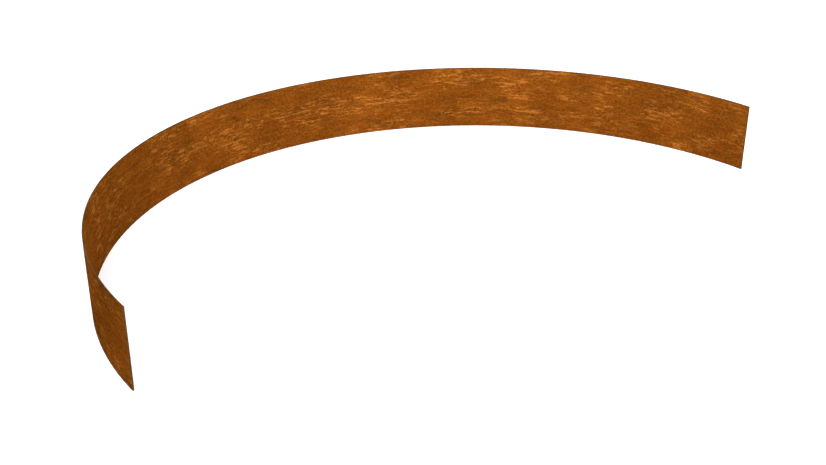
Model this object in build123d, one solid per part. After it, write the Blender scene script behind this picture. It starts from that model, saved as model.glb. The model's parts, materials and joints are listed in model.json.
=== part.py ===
"""Curved landscape edging in weathering steel: a half ring that retains the edge of a bed, path or slab.

Two rolled quarter panels butt together in the middle of the half ring. A curved joint plate bridges
the butt on the convex back, over studs welded to the panels, so that both show faces stay plain.
Short tubes welded low on the back take the stakes that hold the edging in the ground.

Frame: millimetres, +Z up, the edging standing on Z = 0. The open side of the half ring faces -Y and the
back of the curve faces +Y, with X = 0 as the plane of symmetry. The origin is the middle of the
footprint. Angles run round the arc's centre from +X, so the butt in the middle of the back is at 90.
"""

import os
from math import cos, degrees, radians, sin, sqrt, tan

from build123d import *

# ---------------------------------------------------------------- driving dimensions

# the rolled band
outer_radius = 1000.0  # to the convex back
strip_height = 200.0
strip_thickness = 4.0
ring_sweep = 180.0  # degrees
butt_gap = 0.3  # left between the two panels
edge_break = 0.4  # chamfer on every cut edge of a plate

# the joint plate behind the butt
plate_length = 150.0  # along the arc
plate_height = 140.0
plate_thickness = 4.0
plate_corner_radius = 10.0
slot_length = 16.0  # overall, along the arc, for take-up between the panels

# the weld studs, with their washers and nuts
stud_diameter = 8.0
stud_foot_rim = 0.5  # how far the welded foot stands out round the stud
stud_foot_height = 1.0
thread_showing = 3.5  # of the stud, past its nut
stud_from_butt = 45.0  # along the arc, from the butt to each column of studs
stud_row_spacing = 80.0
thread_chamfer = 1.0
washer_diameter = 24.0
washer_thickness = 2.0
nut_across_flats = 13.0
nut_height = 6.5
nut_corner_angle = 30.0  # degrees, the chamfer that rounds the corners of the hexagon

# the stake sockets
stake_diameter = 12.0  # nominal, of a ribbed bar
socket_count = 4
socket_wall = 3.0
socket_length = 80.0
socket_foot_height = 15.0  # from the ground to the bottom of the tube
socket_edge_break = 0.5
weld_length = 25.0  # of the stitch at each end of the tube
weld_height = 5.0  # how far the weld climbs the tube
weld_toe_reach = 1.5  # how far its toe runs out past the side of the tube

# ---------------------------------------------------------------- clearances

slot_clearance = 0.5  # each side, round a stud's foot
washer_clearance = 0.2  # radial, round a stud
thread_clearance = 0.05  # radial, between a stud and its nut
stake_clearance = 1.0  # radial, for the ribs and the mill scale of a stake
root_gap = 0.2  # between a socket's tube and the panel, which the weld fills
trim_depth = 1.0  # how far a foot is drawn into the panel before the panel's face trims it

# ---------------------------------------------------------------- worked-out sizes

inner_radius = outer_radius - strip_thickness
plate_face_radius = outer_radius + plate_thickness
washer_face_radius = plate_face_radius + washer_thickness
middle_height = strip_height / 2
butt_angle = 90.0
right_end_angle = butt_angle - ring_sweep / 2
stud_foot_radius = stud_diameter / 2 + stud_foot_rim
stud_length = plate_thickness + washer_thickness + nut_height + thread_showing
stud_column_angle = degrees(stud_from_butt / outer_radius)  # each side of the butt
slot_width = 2 * (stud_foot_radius + slot_clearance)
socket_bore_radius = stake_diameter / 2 + stake_clearance
socket_radius = socket_bore_radius + socket_wall

# the footprint's front is at the ends of the band, and its back is at the tips of the studs
front = min(radius * sin(radians(right_end_angle)) for radius in (inner_radius, outer_radius))
back = (outer_radius + stud_length) * cos(radians(stud_column_angle)) + (
    stud_diameter / 2 - thread_chamfer
) * sin(radians(stud_column_angle))
arc_centre = Pos(0, -(front + back) / 2, 0)


def arc_degrees(length):
    """The angle that a length covers along the back of the band."""
    return degrees(length / outer_radius)


def radial_plane(angle, radius, height):
    """A plane square to the radius at that angle: its X runs along the arc and its Z points outwards."""
    outwards = Vector(cos(radians(angle)), sin(radians(angle)), 0)
    along = Vector(-sin(radians(angle)), cos(radians(angle)), 0)
    return Plane(origin=outwards * radius + Vector(0, 0, height), x_dir=along, z_dir=outwards)


def curved_plate(radius, thickness, base, height, start, sweep):
    """A plate rolled round the Z axis, from its inner radius outwards, between two angles."""
    section = Plane.XZ * Pos(radius + thickness / 2, base + height / 2) * Rectangle(thickness, height)
    return Rot(0, 0, start) * revolve(section, Axis.Z, sweep)


def panel(start, sweep):
    """A quarter bend: the rolled strip with its cut edges broken."""
    strip = curved_plate(inner_radius, strip_thickness, 0, strip_height, start, sweep)
    return chamfer(strip.edges(), edge_break)


def stud_places():
    """(angle, height) of each stud: two columns, one each side of the butt, of two rows."""
    return [
        (butt_angle + side * stud_column_angle, middle_height + row * stud_row_spacing / 2)
        for side in (-1, 1)
        for row in (-1, 1)
    ]


def joint_plate():
    """The fishplate, with round corners and a slot over each stud."""
    sweep = arc_degrees(plate_length)
    base = middle_height - plate_height / 2
    plate = curved_plate(outer_radius, plate_thickness, base, plate_height, butt_angle - sweep / 2, sweep)
    corners = plate.edges().filter_by(GeomType.LINE).sort_by(Edge.length)[:4]
    plate = fillet(corners, plate_corner_radius)
    for angle, height in stud_places():
        slot = radial_plane(angle, outer_radius - trim_depth, height) * SlotOverall(slot_length, slot_width)
        plate -= extrude(slot, plate_thickness + 2 * trim_depth)
    return plate


def weld_stud(angle, height):
    """A threaded stud on its foot, shaped to the back of the panel that it is welded to."""
    place = radial_plane(angle, outer_radius, height)
    shank_height = stud_length + trim_depth
    foot_height = stud_foot_height + trim_depth
    shank = Pos(0, 0, -trim_depth + shank_height / 2) * Cylinder(stud_diameter / 2, shank_height)
    shank = chamfer(shank.edges().sort_by(Axis.Z)[-1], thread_chamfer)
    foot = Pos(0, 0, -trim_depth + foot_height / 2) * Cylinder(stud_foot_radius, foot_height)
    return place.location * (shank + foot) - panel_core()


def panel_core():
    """Everything inside the back of the band, to trim what is welded there."""
    return Pos(0, 0, middle_height) * Cylinder(outer_radius, strip_height)


def wide_washer(angle, height):
    """The washer that bridges a slot."""
    ring = Circle(washer_diameter / 2) - Circle(stud_diameter / 2 + washer_clearance)
    return extrude(radial_plane(angle, plate_face_radius, height) * ring, washer_thickness)


def hex_nut(angle, height):
    """A hexagon nut with both of its faces chamfered."""
    flats_radius = nut_across_flats / 2
    corner_radius = flats_radius / cos(radians(30))
    face_drop = (corner_radius - flats_radius) * tan(radians(nut_corner_angle))
    prism = extrude(RegularPolygon(flats_radius, 6, major_radius=False), nut_height)
    half_section = Polyline(
        (0, 0),
        (flats_radius, 0),
        (corner_radius, face_drop),
        (corner_radius, nut_height - face_drop),
        (flats_radius, nut_height),
        (0, nut_height),
        close=True,
    )
    rounded = revolve(Plane.XZ * make_face(half_section), Axis.Z)
    bore = Cylinder(stud_diameter / 2 + thread_clearance, 2 * nut_height)
    return radial_plane(angle, washer_face_radius, height).location * ((prism & rounded) - bore)


def weld_section():
    """The flare weld between the tube and the panel: X along the arc, Y outwards from the panel's back."""
    climb = sqrt(socket_radius**2 - (root_gap + socket_radius - weld_height) ** 2)
    toe = socket_radius + weld_toe_reach
    outline = Polyline(
        (-toe, -trim_depth),
        (toe, -trim_depth),
        (toe, 0),
        (climb, weld_height),
        (-climb, weld_height),
        (-toe, 0),
        close=True,
    )
    return make_face(outline)


def stake_socket(angle):
    """A tube against the back of the panel, held by a stitch of weld at its top and at its foot."""
    middle = Pos(0, outer_radius, socket_foot_height + socket_length / 2)
    tube_axis = Pos(0, root_gap + socket_radius, 0)
    socket = tube_axis * chamfer(Cylinder(socket_radius, socket_length).edges(), socket_edge_break)
    for end in (-1, 1):
        stitch = extrude(weld_section(), weld_length / 2, both=True)
        stitch_middle = Pos(0, 0, end * (socket_length - weld_length - 2 * weld_toe_reach) / 2)
        socket += middle.inverse() * ((middle * stitch_middle * stitch) - panel_core())
    socket -= tube_axis * Cylinder(socket_bore_radius, 2 * socket_length)
    return Rot(0, 0, angle - 90) * middle * socket


def all_parts():
    """Every sub-part by node name, round the arc's centre."""
    half_gap = arc_degrees(butt_gap) / 2
    panel_sweep = ring_sweep / 2 - half_gap
    parts = {
        "right_panel": panel(right_end_angle, panel_sweep),
        "left_panel": panel(butt_angle + half_gap, panel_sweep),
        "joint_plate": joint_plate(),
    }
    for number, place in enumerate(stud_places(), 1):
        parts[f"weld_stud_{number}"] = weld_stud(*place)
        parts[f"wide_washer_{number}"] = wide_washer(*place)
        parts[f"hex_nut_{number}"] = hex_nut(*place)
    for number in range(1, socket_count + 1):
        angle = right_end_angle + ring_sweep * number / (socket_count + 1)
        parts[f"stake_socket_{number}"] = stake_socket(angle)
    return parts


os.makedirs("parts", exist_ok=True)
for name, part in all_parts().items():
    export_step(arc_centre * part, f"parts/{name}.step")
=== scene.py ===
"""The looks of a half-ring landscape edging in weathering steel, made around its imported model.

Lengths are in metres and angles in radians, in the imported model's own frame: +Z up, the open side of the
half ring facing -Y, and the band standing on the ground. Places on the band are polar: an angle round the
arc's centre counted from +X, a radius and a height.
"""

import json
from math import asin, atan2, cos, pi, radians, sin, sqrt, tan

import bmesh
import bpy
import numpy as np
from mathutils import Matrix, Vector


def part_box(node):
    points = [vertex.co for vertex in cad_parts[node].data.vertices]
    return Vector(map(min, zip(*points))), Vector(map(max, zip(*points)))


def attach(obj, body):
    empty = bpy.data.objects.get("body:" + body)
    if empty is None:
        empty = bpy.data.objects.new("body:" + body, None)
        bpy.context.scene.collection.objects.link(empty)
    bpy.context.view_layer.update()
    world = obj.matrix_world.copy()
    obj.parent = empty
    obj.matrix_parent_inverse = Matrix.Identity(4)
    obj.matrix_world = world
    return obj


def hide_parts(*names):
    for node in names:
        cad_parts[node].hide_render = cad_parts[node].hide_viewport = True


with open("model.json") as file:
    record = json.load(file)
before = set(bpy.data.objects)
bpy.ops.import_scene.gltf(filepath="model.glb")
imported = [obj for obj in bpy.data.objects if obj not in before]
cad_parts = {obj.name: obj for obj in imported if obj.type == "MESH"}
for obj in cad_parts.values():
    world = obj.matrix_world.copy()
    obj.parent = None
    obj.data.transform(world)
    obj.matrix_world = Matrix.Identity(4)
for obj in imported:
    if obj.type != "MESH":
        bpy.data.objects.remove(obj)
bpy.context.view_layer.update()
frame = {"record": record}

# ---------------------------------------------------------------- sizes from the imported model

mounts = {mount["name"]: mount for mount in frame["record"]["mounts"]}
right_low, right_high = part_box("right_panel")
plate_low, plate_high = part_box("joint_plate")

OUTER_RADIUS = right_high.x
CENTRE_Y = right_low.y
STRIP_HEIGHT = right_high.z
STRIP_THICKNESS = 2 * (OUTER_RADIUS - mounts["right_end"]["pos_m"][0])
INNER_RADIUS = OUTER_RADIUS - STRIP_THICKNESS
HALF_GAP = asin(right_low.x / OUTER_RADIUS)
PLATE_THICKNESS = plate_high.y - CENTRE_Y - OUTER_RADIUS
PLATE_HALF_LENGTH = asin(plate_high.x / (OUTER_RADIUS + PLATE_THICKNESS)) * OUTER_RADIUS
PLATE_HALF_HEIGHT = (plate_high.z - plate_low.z) / 2
PLATE_MIDDLE = (plate_high.z + plate_low.z) / 2
BUTT_ANGLE = pi / 2


def stud_place(number):
    """(angle, height) of a stud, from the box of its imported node."""
    low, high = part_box(f"weld_stud_{number}")
    middle = (low + high) / 2
    return atan2(middle.y - CENTRE_Y, middle.x), middle.z


STUDS = {number: stud_place(number) for number in range(1, 5)}
SOCKETS = {number: mounts[f"stake_bore_{number}"] for number in range(1, 5)}

# ---------------------------------------------------------------- finer sizes

ARRIS = 0.0005  # radius of the broken edges of the plates
ARRIS_STEPS = 4
FACE_STEP = 0.0029  # of the grid on the band
RIM_STEPS = 3  # across the thickness of the strip
ROLLING_WAVE = 0.00012  # how far the rolled strip wanders from a true curve
SCALE_RELIEF = 0.00010  # of the rust on each face
RELIEF_FADE = 0.006  # the relief dies away over this distance from an edge
WORN_RIM = 0.0022  # how far the wear of a cut edge reaches on to the faces

PLATE_CORNER = 0.010
SLOT_HALF_WIDTH = 0.005
SLOT_HALF_LENGTH = 0.008

THREAD_RADIUS = 0.004
THREAD_PITCH = 0.00125
THREAD_DEPTH = 0.61 * THREAD_PITCH
STUD_LENGTH = 0.016
STUD_CHAMFER = 0.0010
FOOT_RADIUS = 0.0045
FOOT_HEIGHT = 0.0010
COLLAR_SINK = 0.0003  # how far the collar is drawn into the panel

WASHER_RADIUS = 0.012
WASHER_BORE = 0.0042
WASHER_THICKNESS = 0.002
WASHER_ARRIS = 0.0004

NUT_FLATS = 0.0065  # half of the distance across the flats
NUT_HEIGHT = 0.0065
NUT_FACE_ANGLE = radians(30)
NUT_COUNTERSINK = 0.0045
NUT_SWINGS = {number: radians(swing) for number, swing in enumerate((12, 41, 27, 5), 1)}

SOCKET_WALL = 0.003
SOCKET_ARRIS = 0.0005
ROOT_GAP = 0.0002
BEAD_LENGTH = 0.025
BEAD_HEIGHT = 0.005
BEAD_TOE = 0.0015
BEAD_CROWN = 0.0007
BEAD_RIPPLE = 0.00022
BEAD_PITCH = 0.0017
BEAD_TAPER = 0.003

# ---------------------------------------------------------------- places


def on_band(angle, radius, height):
    """Points from arrays of angle, radius and height round the arc's centre."""
    angle, radius, height = np.broadcast_arrays(angle, radius, height)
    return np.stack([radius * np.cos(angle), CENTRE_Y + radius * np.sin(angle), height], -1)


def on_back(angle, along, up, out):
    """Points of a flat frame that touches the band's back at an angle: along it, up, and out from it."""
    along, up, out = np.broadcast_arrays(along, up, out)
    radius = OUTER_RADIUS + out
    x = radius * cos(angle) - along * sin(angle)
    y = CENTRE_Y + radius * sin(angle) + along * cos(angle)
    return np.stack([x, y, up], -1)


# ---------------------------------------------------------------- meshes


class Surface:
    """Grids of points that are sewn into one closed mesh."""

    def __init__(self):
        self.points, self.faces, self.corners, self.wear = [], [], [], []
        self.count = 0

    def grid(self, points, close_rows=False, close_columns=False, uv=None, wear=0.0):
        """Adds a grid of points[row, column]. uv has one more row or column where that way is closed.

        Wear is 1 on a cut edge and 0 on a rolled face.
        """
        rows, columns = points.shape[:2]
        row = np.arange(rows if close_rows else rows - 1)[:, None, None]
        column = np.arange(columns if close_columns else columns - 1)[None, :, None]
        row = row + np.array([0, 0, 1, 1])
        column = column + np.array([0, 1, 1, 0])
        index = (row % rows) * columns + column % columns
        self.faces.append(index.reshape(-1, 4) + self.count)
        self.points.append(points.reshape(-1, 3))
        self.wear.append(np.broadcast_to(wear, points.shape[:2]).ravel())
        self.count += rows * columns
        if uv is not None:
            self.corners.append(uv[row + 0 * column, column + 0 * row].reshape(-1, 2))
        return self

    def piece(self, name, material, sharp=radians(35)):
        """The mesh object, with its seams merged and its faces turned outwards."""
        points = np.concatenate(self.points)
        faces = np.concatenate(self.faces)
        mesh = bpy.data.meshes.new(name)
        mesh.from_pydata(points, [], faces)
        if self.corners:
            layer = mesh.uv_layers.new(name="band")
            layer.data.foreach_set("uv", np.concatenate(self.corners).ravel())
        worn = mesh.attributes.new("wear", "FLOAT", "POINT")
        worn.data.foreach_set("value", np.concatenate(self.wear).astype(np.float32))
        sewn = bmesh.new()
        sewn.from_mesh(mesh)
        bmesh.ops.remove_doubles(sewn, verts=sewn.verts, dist=2e-6)
        bmesh.ops.recalc_face_normals(sewn, faces=sewn.faces)
        sewn.to_mesh(mesh)
        sewn.free()
        mesh.shade_smooth()
        mesh.set_sharp_from_angle(angle=sharp)
        mesh.materials.append(material)
        made = bpy.data.objects.new(name, mesh)
        bpy.context.scene.collection.objects.link(made)
        return made


def mounted(piece, slot, *nodes):
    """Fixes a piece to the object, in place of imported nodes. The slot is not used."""
    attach(piece, "root")
    if nodes:
        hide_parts(*nodes)
    return piece


def waves(along, across, seed, longest, shortest, stretch, count=48):
    """A sum of cosines in seeded directions, with lengths spread evenly by ratio from longest to shortest.

    Each is as high as the square root of its length, and the sum is scaled to a standard deviation of 1.
    Stretch draws the pattern out along the first coordinate.
    """
    rng = np.random.default_rng(seed)
    length = longest * (shortest / longest) ** rng.random(count)
    turn, phase = rng.random((2, count)) * 2 * pi
    height = np.sqrt(length)
    total = np.zeros(np.broadcast(along, across).shape)
    for k in range(count):
        step = along / stretch * cos(turn[k]) + across * sin(turn[k])
        total += height[k] * np.cos(2 * pi * step / length[k] + phase[k])
    return total / np.sqrt((height**2).sum() / 2)


def arris_turn(steps=ARRIS_STEPS):
    """Angles of a quarter turn, from flat to flat, without its two ends."""
    return np.linspace(0, pi / 2, steps + 2)[1:-1]


# ---------------------------------------------------------------- the band


def strip_section():
    """(core, normal) round the strip's section, as (depth, height): a point is its core plus a swell.

    The core is the section's rectangle pushed in by the arris, and the normal is the way out of it. It
    runs up the inner face, across the top, down the outer face and back across the bottom.
    """
    low, high = ARRIS, STRIP_HEIGHT - ARRIS
    near, far = ARRIS, STRIP_THICKNESS - ARRIS
    rises = np.linspace(low, high, round(STRIP_HEIGHT / FACE_STEP))
    depths = np.linspace(near, far, RIM_STEPS + 1)
    turn = arris_turn()
    sides = (
        (np.stack([0 * rises + near, rises], -1), (-1, 0)),
        (np.stack([depths, 0 * depths + high], -1), (0, 1)),
        (np.stack([0 * rises + far, rises[::-1]], -1), (1, 0)),
        (np.stack([depths[::-1], 0 * depths + low], -1), (0, -1)),
    )
    core, normal = [], []
    for number, (points, out) in enumerate(sides):
        after = sides[(number + 1) % 4][1]
        core += [points, np.repeat(points[-1:], len(turn), 0)]
        normal += [
            np.repeat([out], len(points), 0),
            np.cos(turn)[:, None] * out + np.sin(turn)[:, None] * after,
        ]
    return np.concatenate(core), np.concatenate(normal), rises, depths


def band_relief(along, height, depth):
    """How far the strip's surface stands out along the radius from the true curve.

    One slow wave is common to both faces, and each face has rust of its own, which dies away at the rims.
    """
    wander = ROLLING_WAVE * waves(along, height, 11, 0.6, 0.15, 1.5, 16)
    edge = np.minimum(height, STRIP_HEIGHT - height)
    fade = np.clip(edge / RELIEF_FADE, 0, 1)
    side = np.sign(depth - STRIP_THICKNESS / 2)
    rust = np.where(
        side > 0,
        waves(along, height, 23, 0.05, 0.008, 2.2),
        waves(along, height, 37, 0.05, 0.008, 2.2),
    )
    scab = np.maximum(rust - 0.6, 0)
    return wander + side * fade * fade * SCALE_RELIEF * (0.35 * rust + 0.9 * scab - 0.2)


def band_panel(name, start, end, material):
    """A quarter of the band between two angles.

    The section's core is carried round the arc and swollen by the arris. At each end the swell shrinks
    with the cosine of a quarter turn while the place closes on the end with its sine.
    """
    core, normal, rises, depths = strip_section()
    turn = np.concatenate([arris_turn()[::-1], [0]])
    near = ARRIS * (1 - np.sin(turn))
    length = (end - start) * OUTER_RADIUS
    middle = np.linspace(ARRIS, length - ARRIS, round(length / FACE_STEP))[1:-1]
    places = np.concatenate([[0], near, middle, length - near[::-1], [length]])
    swell = ARRIS * np.concatenate([[0], np.cos(turn), 1 + 0 * middle, np.cos(turn[::-1]), [0]])

    def surface(place, depth, height):
        along = start * OUTER_RADIUS + place
        radius = INNER_RADIUS + depth + band_relief(along, height, depth)
        return on_band(start + place / OUTER_RADIUS, radius, height)

    depth = core[:, 0, None] + normal[:, 0, None] * swell
    height = core[:, 1, None] + normal[:, 1, None] * swell
    loop = core + ARRIS * normal
    loop = np.concatenate([loop, loop[:1]])
    around = np.concatenate([[0], np.cumsum(np.hypot(*np.diff(loop, axis=0).T))])
    uv = np.stack(np.broadcast_arrays(start * OUTER_RADIUS + places, around[:, None]), -1)
    edge = np.minimum(core[:, 1] - ARRIS, STRIP_HEIGHT - ARRIS - core[:, 1])[:, None]
    free_end = places if start == 0 else length - places
    wear = 1 - np.clip(np.minimum(edge, free_end - ARRIS) / WORN_RIM, 0, 1)
    made = Surface().grid(surface(places, depth, height), close_rows=True, uv=uv, wear=wear)
    for place in (0, length):
        cap_uv = np.stack(np.broadcast_arrays(start * OUTER_RADIUS + place + depths, rises[:, None]), -1)
        made.grid(surface(place + 0 * rises[:, None], depths[None], rises[:, None]), uv=cap_uv, wear=1.0)
    return made.piece(name, material)


# ---------------------------------------------------------------- the joint plate


def stadium(turn, half_straight, radius):
    """(x, y, normal x, normal y) of a slot's outline in the direction of each angle from its middle."""
    across, up = np.abs(np.cos(turn)), np.abs(np.sin(turn))
    flat = up * half_straight >= across * radius
    side = np.where(np.cos(turn) < 0, -1.0, 1.0)
    bend = np.sqrt(np.maximum(radius**2 - (half_straight * up) ** 2, 0))
    reach = np.where(flat, radius / np.maximum(up, 1e-9), half_straight * across + bend)
    x, y = reach * np.cos(turn), reach * np.sin(turn)
    normal_x = np.where(flat, 0, (x - side * half_straight) / radius)
    normal_y = np.where(flat, np.sign(y), y / radius)
    return x, y, normal_x, normal_y


def plate_edge(outline, normal, sign_x, sign_z):
    """A rolled edge: a quarter turn from the outer face, the flat side, and a quarter turn to the inner."""
    turn = np.linspace(0, pi / 2, ARRIS_STEPS + 2)
    swell = np.concatenate([np.sin(turn), np.sin(turn)[::-1]])[:, None]
    lift = np.concatenate([np.cos(turn), -np.cos(turn)[::-1]])[:, None]
    middle = np.repeat([PLATE_THICKNESS - ARRIS, ARRIS], len(turn))[:, None]
    x = outline[:, 0] + ARRIS * swell * normal[:, 0]
    z = outline[:, 1] + ARRIS * swell * normal[:, 1]
    return plate_points(sign_x * x, PLATE_MIDDLE + sign_z * z, middle + ARRIS * lift)


def plate_points(along, height, depth):
    return on_band(BUTT_ANGLE + along / OUTER_RADIUS, OUTER_RADIUS + depth, height)


def joint_plate(name, material):
    """The fishplate, a quarter at a time: each quarter is a grid between its slot and its own outline."""
    steps = 18
    half_length = PLATE_HALF_LENGTH - ARRIS
    half_height = PLATE_HALF_HEIGHT - ARRIS
    corner = PLATE_CORNER - ARRIS
    turn = np.linspace(pi / 2, 0, 10)
    top = np.linspace(0, half_length - corner, steps)
    right = np.linspace(half_height - corner, 0, steps)
    bend = np.stack(
        [half_length - corner + corner * np.cos(turn), half_height - corner + corner * np.sin(turn)], -1
    )
    outer = np.concatenate([
        np.stack([top, 0 * top + half_height], -1)[:-1],
        bend,
        np.stack([0 * right + half_length, right], -1)[1:],
    ])
    outer_normal = np.concatenate([
        np.repeat([(0, 1)], steps - 1, 0),
        np.stack([np.cos(turn), np.sin(turn)], -1),
        np.repeat([(1, 0)], steps - 1, 0),
    ])
    inner_side = np.concatenate([
        np.stack([np.linspace(half_length, 0, steps), np.zeros(steps)], -1)[1:],
        np.stack([np.zeros(steps), np.linspace(0, half_height, steps)], -1)[1:-1],
    ])
    border = np.concatenate([outer, inner_side])
    angle, height = STUDS[4]
    middle = np.array([abs(angle - BUTT_ANGLE) * OUTER_RADIUS, abs(height - PLATE_MIDDLE)])
    away = border - middle
    heading = np.arctan2(away[:, 1], away[:, 0])
    straight = SLOT_HALF_LENGTH - SLOT_HALF_WIDTH
    slot = np.stack(stadium(heading, straight, SLOT_HALF_WIDTH + ARRIS), -1)
    slot_outline = middle + slot[:, :2]
    share = np.linspace(0, 1, 9)[:, None, None]
    face = slot_outline + share * (border - slot_outline)
    made = Surface()
    for sign_x in (-1, 1):
        for sign_z in (-1, 1):
            for depth in (0.0, PLATE_THICKNESS):
                made.grid(
                    plate_points(sign_x * face[..., 0], PLATE_MIDDLE + sign_z * face[..., 1], depth),
                    close_columns=True,
                )
            made.grid(plate_edge(outer, outer_normal, sign_x, sign_z))
            made.grid(plate_edge(slot_outline, -slot[:, 2:], sign_x, sign_z), close_columns=True)
    return made.piece(name, material)


# ---------------------------------------------------------------- studs, washers and nuts


def turned(radius, height, columns=64):
    """A profile turned round an axis: arrays of x, y and z."""
    turn = np.arange(columns) * 2 * pi / columns
    return radius[:, None] * np.cos(turn), radius[:, None] * np.sin(turn), height[:, None] + 0 * turn


def thread(height, turn, crest, depth, pitch):
    """The radius of a right-hand thread: a wedge wave of the height less the turn, cut flat at both ends."""
    phase = (height / pitch - turn / (2 * pi)) % 1
    wedge = np.abs(2 * phase - 1)
    return crest - depth * (1 - np.clip((wedge - 0.12) / 0.76, 0, 1))


def weld_stud(name, angle, height, material):
    """A threaded stud standing on its collar of weld, with a cone at its tip."""
    columns = 48
    turn = np.arange(columns) * 2 * pi / columns
    rise = np.linspace(FOOT_HEIGHT * 1.4, STUD_LENGTH, 118)[:, None]
    shank = thread(rise, turn, THREAD_RADIUS, THREAD_DEPTH, THREAD_PITCH)
    shank = np.minimum(shank, THREAD_RADIUS - STUD_CHAMFER + (STUD_LENGTH - rise))
    bulge = np.linspace(0, pi / 2, 8)[:, None]
    collar_radius = THREAD_RADIUS + (FOOT_RADIUS - THREAD_RADIUS) * np.cos(bulge) + 0 * turn
    collar_rise = FOOT_HEIGHT * (0.25 + 0.75 * np.sin(bulge)) + 0 * turn
    wobble = 0.0002 * waves(np.cos(turn) * 0.01, np.sin(turn) * 0.01, 5, 0.02, 0.006, 1.0, 8)
    collar_radius = collar_radius + wobble * np.cos(bulge)
    blank = 0 * turn[None]
    radius = np.concatenate([blank, collar_radius[:1], collar_radius, shank, blank])
    sunk = blank - COLLAR_SINK
    out = np.concatenate([sunk, sunk, collar_rise, rise + 0 * turn, STUD_LENGTH + blank])
    points = on_back(angle, radius * np.cos(turn), height + radius * np.sin(turn), out)
    return Surface().grid(points, close_columns=True).piece(name, material)


def rounded_ring(bore, radius, low, high, arris, steps=3):
    """(radius, height) round the section of a ring with broken edges, starting inside at the bottom."""
    turn = np.linspace(0, pi / 2, steps + 2)
    corners = (
        (bore + arris, high - arris, pi),
        (radius - arris, high - arris, pi / 2),
        (radius - arris, low + arris, 0),
        (bore + arris, low + arris, -pi / 2),
    )
    around = [(x + arris * np.cos(start - turn), y + arris * np.sin(start - turn)) for x, y, start in corners]
    return np.concatenate([a[0] for a in around]), np.concatenate([a[1] for a in around])


def wide_washer(name, angle, height, material):
    """A punched washer, with its edges rolled over."""
    face = PLATE_THICKNESS
    profile = rounded_ring(WASHER_BORE, WASHER_RADIUS, face, face + WASHER_THICKNESS, WASHER_ARRIS)
    x, y, out = turned(*profile)
    points = on_back(angle, x, height + y, out)
    return Surface().grid(points, close_rows=True, close_columns=True).piece(name, material)


def hexagon(turn):
    """The radius of a hexagon's side in each direction, with its corners just rounded."""
    sides = np.arange(6)[:, None] * pi / 3
    reach = np.maximum(np.cos(turn - sides), 0) ** 60
    return NUT_FLATS / reach.sum(0) ** (1 / 60)


def hex_nut(name, angle, height, swing, material):
    """A nut: threaded bore, countersink, face, the cone that rounds the face's corners, and the six sides.

    Swing is how far it was turned when it came tight.
    """
    columns = 96
    turn = np.arange(columns) * 2 * pi / columns
    side = hexagon(turn)[None]
    face = 0.96 * NUT_FLATS
    drop = (side - face) * tan(NUT_FACE_ANGLE)
    inset = NUT_COUNTERSINK - THREAD_RADIUS + THREAD_DEPTH
    rise = np.linspace(inset, NUT_HEIGHT - inset, 46)[:, None]
    bore = thread(rise, turn, THREAD_RADIUS, THREAD_DEPTH, THREAD_PITCH)
    blank = 0 * turn[None]
    share = np.linspace(0, 1, 5)[:, None]
    edge = 0.0001
    upper_radius = [blank + NUT_COUNTERSINK, blank + face, face + (side - face - edge) * share[1:], side]
    upper_rise = [
        blank + NUT_HEIGHT,
        blank + NUT_HEIGHT,
        NUT_HEIGHT - drop * share[1:],
        NUT_HEIGHT - drop - edge,
    ]
    radius = np.concatenate([bore, *upper_radius, *[row[::-1] for row in reversed(upper_radius)]])
    lower_rise = [NUT_HEIGHT - row[::-1] for row in reversed(upper_rise)]
    rises = np.concatenate([rise + blank, *upper_rise, *lower_rise])
    seat = PLATE_THICKNESS + WASHER_THICKNESS
    along = radius * np.cos(turn + swing)
    up = radius * np.sin(turn + swing)
    points = on_back(angle, along, height + up, seat + rises)
    return Surface().grid(points, close_rows=True, close_columns=True).piece(name, material, radians(20))


# ---------------------------------------------------------------- stake sockets


def socket_tube(name, mount, material):
    """The tube that takes a stake: a rounded ring's section turned round the stake's axis."""
    bore = mount["dims"]["r_mm"] / 1000
    length = mount["dims"]["length_mm"] / 1000
    radius = bore + SOCKET_WALL
    x, y, height = mount["pos_m"]
    angle = atan2(y - CENTRE_Y, x)
    profile_radius, profile_height = rounded_ring(bore, radius, -length / 2, length / 2, SOCKET_ARRIS)
    along, out, up = turned(profile_radius, profile_height, 72)
    points = on_back(angle, along, height + up, ROOT_GAP + radius + out)
    return Surface().grid(points, close_rows=True, close_columns=True).piece(name, material)


def bead_points(seed, radius):
    """(along, up, out) of one weld bead beside a tube, from its lower end, with the tube's axis at 0.

    The crown is a bowed line from the toe on the panel to the tube. Crescent ripples run up it, and the
    section shrinks to a point at each end, as a quarter of an ellipse.
    """
    up = np.linspace(0, BEAD_LENGTH, 130)[:, None]
    across = np.linspace(0, 1, 13)
    wobble = 0.00035 * waves(up, 0 * up, seed, 0.02, 0.004, 1.0, 12)
    toe = radius + BEAD_TOE + wobble
    climb = BEAD_HEIGHT + 0.6 * wobble
    tube = np.sqrt(radius**2 - (ROOT_GAP + radius - climb) ** 2)
    bow = BEAD_CROWN * np.sin(pi * across)
    crescent = up / BEAD_PITCH + 0.9 * (2 * across - 1) ** 2
    ripple = BEAD_RIPPLE * (1 - (crescent % 1)) ** 1.5 * np.sin(pi * across)
    lift = bow + ripple
    slope = sqrt(0.5)
    along = toe + (tube - 0.0002 - toe) * across + lift * slope
    out = -0.0002 + (climb + 0.0002) * across + lift * slope
    hidden_along = radius * np.array([0.72, 0.6, 0.8])
    hidden_out = BEAD_HEIGHT * np.array([0.5, 0.15, -0.04])
    along = np.concatenate([along, hidden_along + 0 * up], 1)
    out = np.concatenate([out, hidden_out + 0 * up], 1)
    end = np.minimum(up, BEAD_LENGTH - up) / BEAD_TAPER
    share = np.sqrt(1 - (1 - np.clip(end, 0, 1)) ** 2)
    middle_along, middle_out = 0.86 * radius, 0.25 * BEAD_HEIGHT
    along = middle_along + share * (along - middle_along)
    return along, up + 0 * along, middle_out + share * (out - middle_out)


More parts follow.
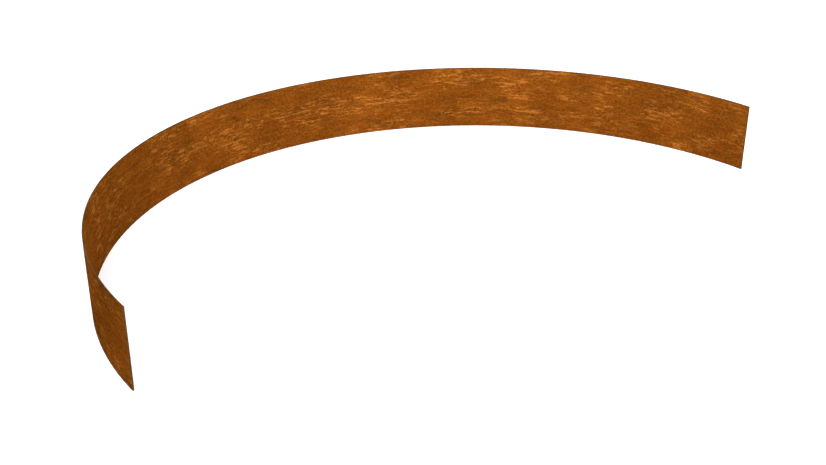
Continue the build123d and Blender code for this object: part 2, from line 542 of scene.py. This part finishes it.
def socket_welds(name, seed, mount, material):
    """The four stitches of one socket: one each side of the tube, near its top and near its foot."""
    bore = mount["dims"]["r_mm"] / 1000
    length = mount["dims"]["length_mm"] / 1000
    x, y, height = mount["pos_m"]
    angle = atan2(y - CENTRE_Y, x)
    made = Surface()
    for side in (-1, 1):
        for end in (-1, 1):
            along, up, out = bead_points(seed + 10 * side + end, bore + SOCKET_WALL)
            foot = height + end * (length - BEAD_LENGTH - 2 * BEAD_TOE) / 2 - BEAD_LENGTH / 2
            made.grid(on_back(angle, side * along, foot + up, out), close_columns=True)
    return made.piece(name, material)


# ---------------------------------------------------------------- shader helpers


def add(tree, kind, inputs=None, **settings):
    """Adds a shader node. An input's value is a number, a colour or the socket that feeds it."""
    node = tree.nodes.new("ShaderNode" + kind)
    for key, value in settings.items():
        setattr(node, key, value)
    for key, value in (inputs or {}).items():
        if isinstance(value, bpy.types.NodeSocket):
            tree.links.new(value, node.inputs[key])
        else:
            node.inputs[key].default_value = value
    return node


def maths(tree, operation, a, b, c=0.0, clamp=False):
    return add(tree, "Math", {0: a, 1: b, 2: c}, operation=operation, use_clamp=clamp).outputs[0]


def noise(tree, vector, scale, detail=4.0, roughness=0.55, distortion=0.0):
    """Noise of a vector that is first multiplied by a scale for each axis."""
    stretched = add(tree, "VectorMath", {0: vector, 1: scale}, operation="MULTIPLY").outputs[0]
    values = {"Vector": stretched, "Scale": 1.0, "Detail": detail}
    values.update({"Roughness": roughness, "Distortion": distortion})
    return add(tree, "TexNoise", values)


def step(tree, value, low, high):
    """0 below low and 1 above high, with a smooth step between them."""
    values = {"Value": value, "From Min": low, "From Max": high}
    return add(tree, "MapRange", values, interpolation_type="SMOOTHSTEP").outputs[0]


def mix(tree, share, a, b, blend_type="MIX"):
    """A colour between a and b."""
    node = add(tree, "Mix", {0: share, 6: a, 7: b}, data_type="RGBA", blend_type=blend_type)
    return node.outputs[2]


def shader_group(name, inputs, outputs):
    """A node group with named sockets: (tree, its inputs, the node that its outputs go to)."""
    tree = bpy.data.node_groups.new(name, "ShaderNodeTree")
    for way, sockets in (("INPUT", inputs), ("OUTPUT", outputs)):
        for key, value in sockets.items():
            kind = "NodeSocketFloat"
            if value == "vector":
                kind = "NodeSocketVector"
            elif isinstance(value, tuple):
                kind = "NodeSocketColor"
            socket = tree.interface.new_socket(key, in_out=way, socket_type=kind)
            if value != "vector":
                socket.default_value = value
    given = tree.nodes.new("NodeGroupInput").outputs
    result = tree.nodes.new("NodeGroupOutput")
    return tree, given, result


def use_group(tree, group, inputs):
    node = tree.nodes.new("ShaderNodeGroup")
    node.node_tree = group
    for key, value in inputs.items():
        if isinstance(value, bpy.types.NodeSocket):
            tree.links.new(value, node.inputs[key])
        else:
            node.inputs[key].default_value = value
    return node


def new_material(name):
    """(material, its tree, its Principled shader)."""
    material = bpy.data.materials.new(name)
    material.use_nodes = True
    tree = material.node_tree
    return material, tree, tree.nodes["Principled BSDF"]


# ---------------------------------------------------------------- rust


PATCH_SHARE = 0.6
CLOUD_SHARE = 0.8
CLOUD_LEVEL = 0.727  # over their mean of about 0.7, which darkens the ground by 3%
COARSE_SHARE = 0.42
MEDIUM_SHARE = 0.32
FINE_SHARE = 0.30
GRAIN_MEAN = 0.52
DARKEST_TONE = 0.2
WORN_SHARE = 0.85  # of the edge colour, where an edge is fully worn


def rust_group():
    """Weathered rust. The vector is in metres, with X along the rolling direction and Y across it.

    A brown ground with uneven clouds takes dark smudges and painted shade, thin dark streaks that stand for
    the shadow lines beside the raised feathers, then light feathers that gather in clusters, and a grain in
    three sizes. A second colour drifts through the ground. Wear darkens the cut edges. Height is in metres.
    """
    white, vector = (1.0, 1.0, 1.0, 1.0), "vector"
    tree, given, result = shader_group(
        "weathered rust",
        {
            "Vector": vector,
            "Ground": white,
            "Drift": white,
            "Feather": white,
            # Smudge colours the dark smudges and also the painted shadow lines beside the feathers.
            "Smudge": white,
            "Edge": white,
            "Feathers": 1.0,
            "Smudges": 1.0,
            "Clouds": 1.0,
            "Grain": 1.0,
            "Wear": 0.0,
        },
        {"Color": white, "Roughness": 0.8, "Height": 0.0},
    )
    place = given["Vector"]
    bend = noise(tree, place, (16, 34, 34), 4.0, 0.6).outputs["Color"]
    bend = add(tree, "VectorMath", {0: bend, 1: (0.5, 0.5, 0.5)}, operation="SUBTRACT").outputs[0]
    bend = add(tree, "VectorMath", {0: bend, 1: (0.030, 0.010, 0.010)}, operation="MULTIPLY").outputs[0]
    bent = add(tree, "VectorMath", {0: place, 1: bend}, operation="ADD").outputs[0]

    patch = noise(tree, bent, (6.5, 4, 4), 1.0, 0.45).outputs[0]
    cloud = noise(tree, bent, (15, 62, 62), 5.0, 0.6).outputs[0]
    drift = step(tree, noise(tree, bent, (19, 40, 40), 5.0, 0.62).outputs["Color"], 0.42, 0.62)
    gather = step(tree, noise(tree, bent, (7, 15, 15), 3.0, 0.55).outputs[0], 0.45, 0.60)
    strands = noise(tree, bent, (23, 118, 118), 5.0, 0.6).outputs[0]
    feathers = step(tree, strands, 0.51, 0.60)
    # Painted shade: the low side of the strands gives thin dark streaks that stand for the shadow lines
    # beside the raised feathers.
    painted_shadow_lines = step(tree, strands, 0.43, 0.31)
    barbs = step(tree, noise(tree, bent, (75, 260, 260), 5.0, 0.62).outputs[0], 0.50, 0.64)
    smudge_and_shade = step(tree, noise(tree, bent, (10, 36, 36), 7.0, 0.68).outputs[0], 0.49, 0.72)
    coarse = noise(tree, place, (125, 175, 175), 2.0, 0.6).outputs[0]
    medium = noise(tree, place, (290, 340, 340), 2.0, 0.6).outputs[0]
    fine = noise(tree, place, (760, 820, 820), 5.0, 0.68).outputs[0]

    feather = maths(tree, "MULTIPLY", feathers, maths(tree, "MULTIPLY_ADD", gather, 0.85, 0.15))
    barb = maths(tree, "MULTIPLY", barbs, maths(tree, "MULTIPLY_ADD", gather, 0.45, 0.22))
    feather = maths(tree, "MAXIMUM", feather, barb)
    feather = maths(tree, "MULTIPLY", feather, given["Feathers"], clamp=True)
    # The painted shadow lines join the smudges, so the Smudge colour and the Smudges strength paint both.
    smudge_and_shade = maths(tree, "MAXIMUM", smudge_and_shade, maths(tree, "MULTIPLY", painted_shadow_lines, 0.55))
    smudge_and_shade = maths(tree, "MULTIPLY", smudge_and_shade, given["Smudges"], clamp=True)

    cloud = maths(tree, "MULTIPLY_ADD", patch, PATCH_SHARE, maths(tree, "MULTIPLY", cloud, CLOUD_SHARE))
    tone = maths(tree, "MULTIPLY", maths(tree, "SUBTRACT", cloud, CLOUD_LEVEL), given["Clouds"])
    grain = maths(tree, "MULTIPLY", coarse, COARSE_SHARE)
    grain = maths(tree, "MULTIPLY_ADD", medium, MEDIUM_SHARE, grain)
    grain = maths(tree, "MULTIPLY_ADD", fine, FINE_SHARE, grain)
    speck = maths(tree, "MULTIPLY", maths(tree, "SUBTRACT", grain, GRAIN_MEAN), given["Grain"])
    tone = maths(tree, "ADD", maths(tree, "ADD", tone, speck), 1.0)
    tone = maths(tree, "MAXIMUM", tone, DARKEST_TONE)
    tone = add(tree, "CombineColor", {0: tone, 1: tone, 2: tone}).outputs[0]

    colour = mix(tree, drift, given["Ground"], given["Drift"])
    colour = mix(tree, smudge_and_shade, colour, given["Smudge"])
    colour = mix(tree, feather, colour, given["Feather"])
    ragged = maths(tree, "MULTIPLY_ADD", maths(tree, "SUBTRACT", coarse, 0.5), 2.2, given["Wear"])
    worn = maths(tree, "MULTIPLY", step(tree, ragged, 0.15, 1.0), step(tree, given["Wear"], 0.02, 0.4))
    colour = mix(tree, maths(tree, "MULTIPLY", worn, WORN_SHARE), colour, given["Edge"])
    colour = mix(tree, 1.0, colour, tone, "MULTIPLY")
    height = maths(tree, "MULTIPLY_ADD", feathers, 0.00007, maths(tree, "MULTIPLY", grain, 0.00028))
    rough = maths(tree, "MULTIPLY_ADD", grain, 0.16, maths(tree, "MULTIPLY_ADD", feather, -0.06, 0.78))
    tree.links.new(colour, result.inputs["Color"])
    tree.links.new(rough, result.inputs["Roughness"])
    tree.links.new(height, result.inputs["Height"])
    return tree


RUST = rust_group()


def rust_material(name, from_band, **values):
    """Rusted steel. The pattern follows the band's own map, or the object's coordinates."""
    material, tree, shader = new_material(name)
    coordinates = tree.nodes.new("ShaderNodeTexCoord").outputs
    wear = add(tree, "Attribute", attribute_name="wear").outputs["Fac"]
    inputs = {"Vector": coordinates["UV" if from_band else "Object"], "Wear": wear}
    inputs.update({key.replace("_", " "): value for key, value in values.items()})
    rust = use_group(tree, RUST, inputs)
    bump = add(tree, "Bump", {"Height": rust.outputs["Height"], "Distance": 1.0, "Strength": 1.0})
    tree.links.new(rust.outputs["Color"], shader.inputs["Base Color"])
    tree.links.new(rust.outputs["Roughness"], shader.inputs["Roughness"])
    tree.links.new(bump.outputs[0], shader.inputs["Normal"])
    shader.inputs["Specular IOR Level"].default_value = 0.0
    return material


def stainless_material(name, stain):
    """Bright stainless steel with the rust of its neighbours run on to it."""
    material, tree, shader = new_material(name)
    place = tree.nodes.new("ShaderNodeTexCoord").outputs["Object"]
    patch = step(tree, noise(tree, place, (190, 190, 130), 4.0, 0.6).outputs[0], 0.5, 0.68)
    brush = noise(tree, place, (900, 900, 1500), 2.0, 0.5).outputs[0]
    shade = maths(tree, "MULTIPLY", patch, stain)
    colour = mix(tree, shade, (0.47, 0.45, 0.42, 1), (0.17, 0.075, 0.022, 1))
    tree.links.new(colour, shader.inputs["Base Color"])
    tree.links.new(maths(tree, "MULTIPLY_ADD", shade, -0.85, 1.0), shader.inputs["Metallic"])
    rough = maths(tree, "MULTIPLY_ADD", shade, 0.4, maths(tree, "MULTIPLY_ADD", brush, 0.2, 0.22))
    tree.links.new(rough, shader.inputs["Roughness"])
    bump = add(tree, "Bump", {"Height": maths(tree, "MULTIPLY", brush, 0.00002), "Distance": 1.0})
    tree.links.new(bump.outputs[0], shader.inputs["Normal"])
    return material


# ---------------------------------------------------------------- the object

band_rust = rust_material(
    "band rust",
    True,
    Ground=(0.222, 0.0628, 0.0048, 1),
    Drift=(0.212, 0.0527, 0.0037, 1),
    Feather=(0.41, 0.139, 0.021, 1),
    # Smudge is also the colour of the painted shadow lines.
    Smudge=(0.122, 0.041, 0.0055, 1),
    Edge=(0.115, 0.055, 0.018, 1),
    Smudges=0.85,
    Clouds=1.1,
    Grain=3.9,
)
plate_rust = rust_material(
    "plate rust",
    False,
    Ground=(0.195, 0.052, 0.0052, 1),
    Drift=(0.17, 0.043, 0.0045, 1),
    Feather=(0.36, 0.115, 0.018, 1),
    # Smudge is also the colour of the painted shadow lines.
    Smudge=(0.10, 0.033, 0.0055, 1),
    Edge=(0.125, 0.057, 0.018, 1),
    Feathers=0.85,
    Clouds=1.1,
    Grain=3.6,
)
weld_rust = rust_material(
    "weld rust",
    False,
    Ground=(0.19, 0.062, 0.013, 1),
    Drift=(0.145, 0.052, 0.015, 1),
    Feather=(0.26, 0.085, 0.016, 1),
    # Smudge is also the colour of the painted shadow lines.
    Smudge=(0.095, 0.039, 0.014, 1),
    Edge=(0.10, 0.05, 0.02, 1),
    Feathers=0.6,
    Clouds=1.1,
    Grain=3.6,
)
stainless = stainless_material("stained stainless", 0.75)

STEEL = "weathering_steel"
BRIGHT = "stainless_steel"

mounted(band_panel("right_band", 0.0, BUTT_ANGLE - HALF_GAP, band_rust), STEEL, "right_panel")
mounted(band_panel("left_band", BUTT_ANGLE + HALF_GAP, pi, band_rust), STEEL, "left_panel")
mounted(joint_plate("fishplate", plate_rust), STEEL, "joint_plate")
for number, (angle, height) in STUDS.items():
    mounted(weld_stud(f"stud_{number}", angle, height, stainless), BRIGHT, f"weld_stud_{number}")
    mounted(wide_washer(f"washer_{number}", angle, height, stainless), BRIGHT, f"wide_washer_{number}")
    nut = hex_nut(f"nut_{number}", angle, height, NUT_SWINGS[number], stainless)
    mounted(nut, BRIGHT, f"hex_nut_{number}")
for number, mount in SOCKETS.items():
    mounted(socket_tube(f"socket_{number}", mount, plate_rust), STEEL, f"stake_socket_{number}")
    mounted(socket_welds(f"socket_welds_{number}", 100 * number + 50, mount, weld_rust), STEEL)

# ---------------------------------------------------------------- floor, light and camera

FLOOR_HALF = 14.0
FLOOR_DROP = 0.0002  # keeps the floor from sharing a plane with the bottom edge
FLOOR_GLOW = 0.5


def pale_floor():
    """A plain pale floor, whose glow is only seen and lights nothing."""
    material, tree, shader = new_material("pale floor")
    shader.inputs["Base Color"].default_value = (0.9, 0.9, 0.9, 1)
    shader.inputs["Roughness"].default_value = 0.9
    shader.inputs["Specular IOR Level"].default_value = 0.1
    shader.inputs["Emission Color"].default_value = (1, 1, 1, 1)
    seen = add(tree, "LightPath").outputs["Is Camera Ray"]
    tree.links.new(maths(tree, "MULTIPLY", seen, FLOOR_GLOW), shader.inputs["Emission Strength"])
    corners = np.array([(-1, -1), (1, -1), (1, 1), (-1, 1)]) * FLOOR_HALF
    mesh = bpy.data.meshes.new("pale_floor")
    mesh.from_pydata([(x, y, -FLOOR_DROP) for x, y in corners], [], [(0, 1, 2, 3)])
    mesh.materials.append(material)
    floor = bpy.data.objects.new("pale_floor", mesh)
    bpy.context.scene.collection.objects.link(floor)


def soft_sun(name, azimuth, elevation, spread, strength):
    """Even light from a broad patch of the sky. Strength is the brightness of a white surface facing it."""
    lamp = bpy.data.lights.new(name, "SUN")
    lamp.angle = radians(spread)
    lamp.energy = pi * strength
    made = bpy.data.objects.new(name, lamp)
    bpy.context.scene.collection.objects.link(made)
    made.rotation_euler = (0, radians(90 - elevation), radians(azimuth))


def softbox(name, place, target, size, power):
    """A square area light that faces a target."""
    lamp = bpy.data.lights.new(name, "AREA")
    lamp.size = size
    lamp.energy = power
    made = bpy.data.objects.new(name, lamp)
    bpy.context.scene.collection.objects.link(made)
    away = np.array(place) - np.array(target)
    heading = atan2(away[1], away[0])
    tilt = atan2(sqrt(away[0] ** 2 + away[1] ** 2), away[2])
    made.location = place
    made.rotation_euler = (0, tilt, heading)


def studio_world(seen, lit):
    """A white room: what the camera sees of it, and the dimmer light that it gives."""
    world = bpy.data.worlds.new("white room")
    bpy.context.scene.world = world
    world.use_nodes = True
    tree = world.node_tree
    shader = tree.nodes["Background"]
    camera = add(tree, "LightPath").outputs["Is Camera Ray"]
    tree.links.new(maths(tree, "MULTIPLY_ADD", camera, seen - lit, lit), shader.inputs["Strength"])
    shader.inputs["Color"].default_value = (1, 1, 1, 1)


pale_floor()
studio_world(1.0, 0.03)
soft_sun("key", 244, 35, 40, 0.72)
soft_sun("back fill", 90, 50, 40, 0.60)
softbox("front lamp", (0.2, -1.5, 1.8), (0.2, -1.5, 0), 1.0, 21.5)
softbox("right lamp", (0.5, -0.3, 1.2), (0.5, -0.3, 0), 0.8, 4.3)

CAMERA_ANGLE = radians(-132.20)  # round the arc's centre
CAMERA_DISTANCE = 2.6358
CAMERA_HEIGHT = 1.3209
CAMERA_HEADING = radians(52.342)
CAMERA_PITCH = radians(-25.355)

camera_data = bpy.data.cameras.new("camera")
camera_data.lens = 50
camera_data.sensor_width = 36
camera = bpy.data.objects.new("camera", camera_data)
bpy.context.scene.collection.objects.link(camera)
camera.location = on_band(CAMERA_ANGLE, CAMERA_DISTANCE, CAMERA_HEIGHT)
camera.rotation_euler = (pi / 2 + CAMERA_PITCH, 0, CAMERA_HEADING - pi / 2)
bpy.context.scene.camera = camera
bpy.context.scene.view_settings.view_transform = "Standard"
